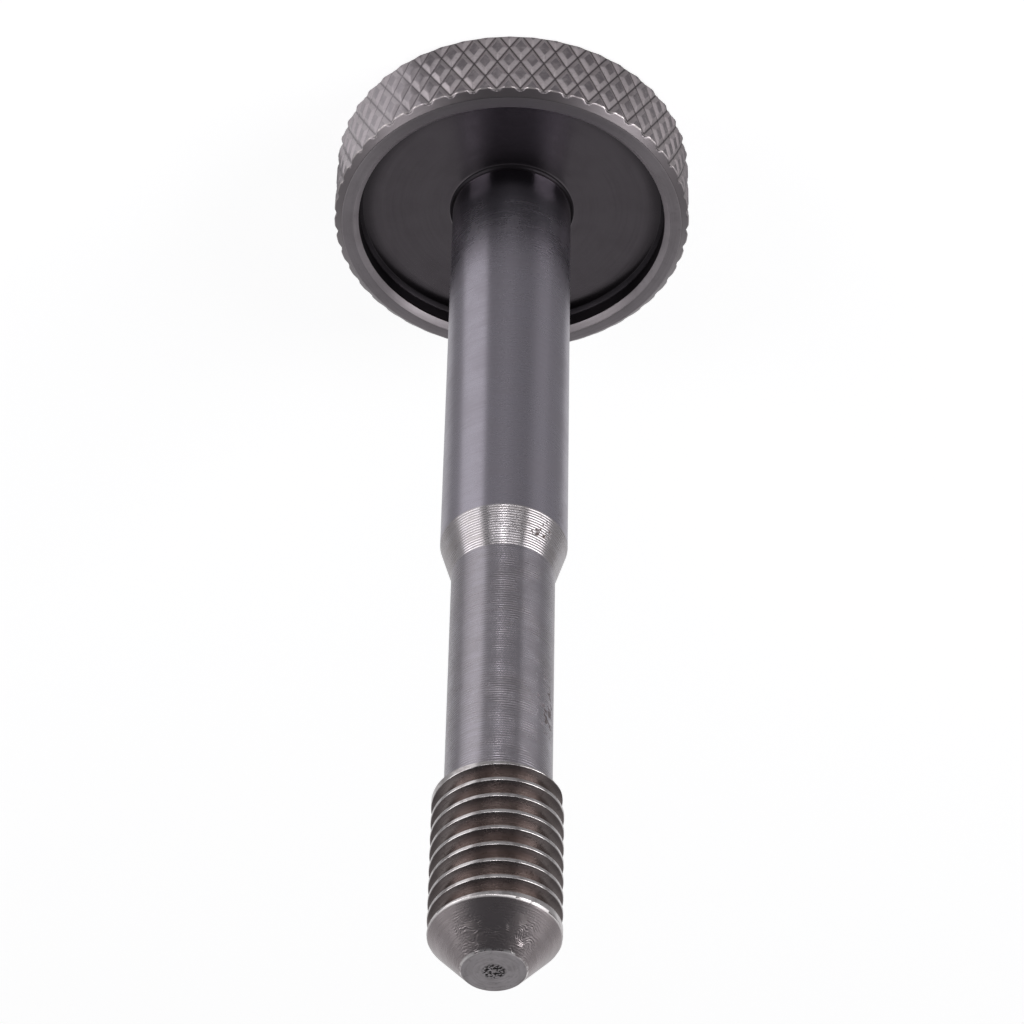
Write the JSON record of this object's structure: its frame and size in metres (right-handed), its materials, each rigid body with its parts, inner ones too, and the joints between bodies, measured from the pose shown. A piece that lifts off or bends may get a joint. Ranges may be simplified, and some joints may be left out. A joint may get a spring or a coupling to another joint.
{
  "type": "knurled head bolt",
  "caption": "Long turned bolt with a round diamond-knurled head recessed underneath, a plain shank, a tapered shoulder, a slimmer neck, a threaded end and a flat conical point.",
  "frame": {"origin": "centre of the head's flat outer face, on which the bolt stands", "axes": "+Z along the bolt's axis from the head to the point"},
  "size_m": [0.03, 0.03, 0.0858],
  "materials": {
    "steel": "turned, lightly tarnished"
  },
  "bodies": {
    "root": {"bolt": "steel"}
  },
  "joints": []
}
